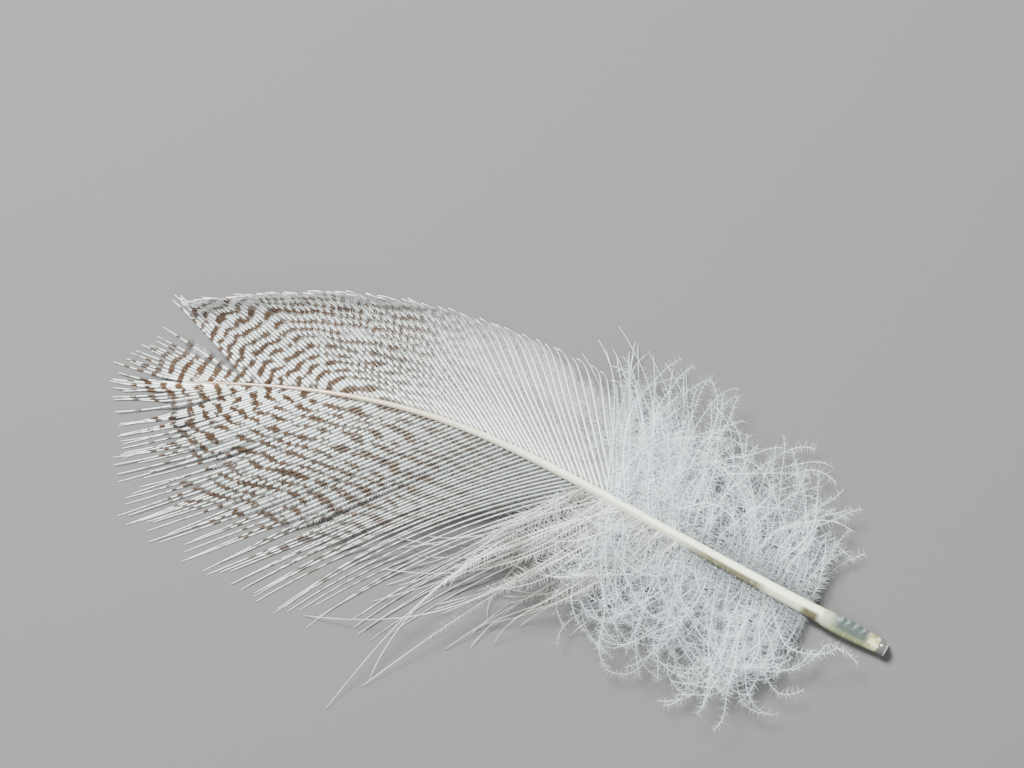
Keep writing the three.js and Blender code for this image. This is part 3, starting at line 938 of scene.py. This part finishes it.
def down_lines(side, chance):
    """Points of downy barbs, grown a step at a time from the shaft."""
    count = DOWN_BARBS
    rise = (np.arange(count) + chance.uniform(0, 1, count)) / count
    station = DOWN_START + (DOWN_END - DOWN_START) * rise
    point, along, out = root_frame(station)
    roots = point + DOWN_ROOT * shaft_radius(station)[:, None] * (side * out - (0.0, 0.0, DOWN_ROOT_DROP))
    freedom = np.minimum(1, FREEDOM_FIRST + FREEDOM_GROWTH * rise)[:, None]
    angle = (DOWN_ANGLES[0] + (DOWN_ANGLES[1] - DOWN_ANGLES[0]) * rise)[:, None]
    leave = np.radians(angle + freedom * chance.normal(0, DOWN_SPREAD, (count, 1)))
    heading = np.cos(leave) * along + np.sin(leave) * side * out
    curl = freedom * np.radians(chance.normal(0, DOWN_CURL, (count, 1)))
    waver = np.radians(chance.uniform(*DOWN_WAVERS, (count, 1)))
    pace = chance.uniform(*WAVER_PACES, (count, 1))
    phase = chance.uniform(*WAVER_PHASES, (count, 1))
    climb = np.radians(DOWN_CLIMB) * chance.uniform(0, 1, (count, 1)) ** CLIMB_POWER
    grown = np.minimum(1, DOWN_FIRST + DOWN_GROWTH * rise)[:, None]
    stride = grown * chance.uniform(*DOWN_LENGTHS, (count, 1)) / (DOWN_STEPS - 1)
    limit = chance.uniform(*CLOUD_LIMITS, count)
    spots = [roots]
    for step in range(1, DOWN_STEPS):
        turn = curl + waver * np.sin(pace * step + phase)
        crosswise = np.cross((0.0, 0.0, 1.0), heading)
        heading = turned_aside(np.cos(turn) * heading + np.sin(turn) * crosswise, spots[-1], side, limit)
        slope = climb * min(1, step / CLIMB_STEPS) * (1 - CLIMB_FALL * step / DOWN_STEPS)
        spots.append(spots[-1] + stride * (np.cos(slope) * heading + np.sin(slope) * (0.0, 0.0, 1.0)))
    points = np.stack(spots, axis=1)
    points[..., 2] = np.maximum(points[..., 2], DOWN_GAP)
    return points


def down_piece(name, side, seed):
    """The down of one side of the shaft."""
    chance = np.random.default_rng(seed)
    points = down_lines(side, chance)
    taper = np.broadcast_to(1 - DOWN_TAPER * np.linspace(0, 1, DOWN_STEPS), points.shape[:2])
    piece = fringed_piece(name, points, turned_faces(points, chance, DOWN_TWIST), DOWN_HALF_WIDTH * taper,
                          DOWN_HALF_WIDTH * taper, DOWN_FRINGE, {}, white_down, chance)
    dress(piece)


down_piece("lower_down", side=-1, seed=31)
down_piece("upper_down", side=1, seed=32)

# Floor: a plain pale table top, matt and level, that the feather lies on.
# It isn't part of the object, so it is only staged.
FLOOR_REACH = 1.5
FLOOR_GREY = (0.06, 0.06, 0.059, 1)
floor_build = bmesh.new()
bmesh.ops.create_grid(floor_build, x_segments=1, y_segments=1, size=FLOOR_REACH)
floor_material, floor_tree = new_material("pale table")
floor_finish = {"Base Color": FLOOR_GREY, "Roughness": 0.7}
show(floor_tree, add_node(floor_tree, "ShaderNodeBsdfPrincipled", floor_finish))
floor = finish_mesh("table_top", floor_build, floor_material)

# Camera and light: the camera looks almost straight down, turned so that the quill points to the lower
# right, and soft lamps stand round it.
VIEW_TURN = math.radians(20.5)
VIEW_HEIGHT = math.radians(84)
VIEW_DISTANCE = 0.36
FRAME_WIDTH = 0.0932
VIEW_CENTRE = Vector((-2.9, 13.2, 1.5)) * MM
NEAR_CLIP = 0.01
SKY = (0.97, 0.98, 1.0, 1)
SKY_STRENGTH = 0.3
camera_data = bpy.data.cameras.new("camera")
camera_data.lens = camera_data.sensor_width * VIEW_DISTANCE / FRAME_WIDTH
camera = bpy.data.objects.new("camera", camera_data)
bpy.context.collection.objects.link(camera)
level = math.cos(VIEW_HEIGHT)
view_from = Vector((math.sin(VIEW_TURN) * level, -math.cos(VIEW_TURN) * level, math.sin(VIEW_HEIGHT)))
camera.location = VIEW_CENTRE + view_from * VIEW_DISTANCE
camera.rotation_euler = (-view_from).to_track_quat("-Z", "Y").to_euler()
camera_data.clip_start = NEAR_CLIP
bpy.context.scene.camera = camera


def soft_lamp(name, place, size, power):
    """A square lamp that points at the feather."""
    data = bpy.data.lights.new(name, "AREA")
    data.size = size
    data.energy = power
    lamp = bpy.data.objects.new(name, data)
    bpy.context.collection.objects.link(lamp)
    lamp.location = place
    lamp.rotation_euler = (-Vector(place)).to_track_quat("-Z", "Y").to_euler()


soft_lamp("key_lamp", place=(-0.3, 0.25, 0.6), size=0.2, power=30.0)
soft_lamp("fill_lamp", place=(0.45, -0.35, 0.55), size=0.4, power=7.0)
world = bpy.data.worlds.new("soft studio")
world.use_nodes = True
background = world.node_tree.nodes["Background"]
background.inputs["Color"].default_value = SKY
background.inputs["Strength"].default_value = SKY_STRENGTH
bpy.context.scene.world = world
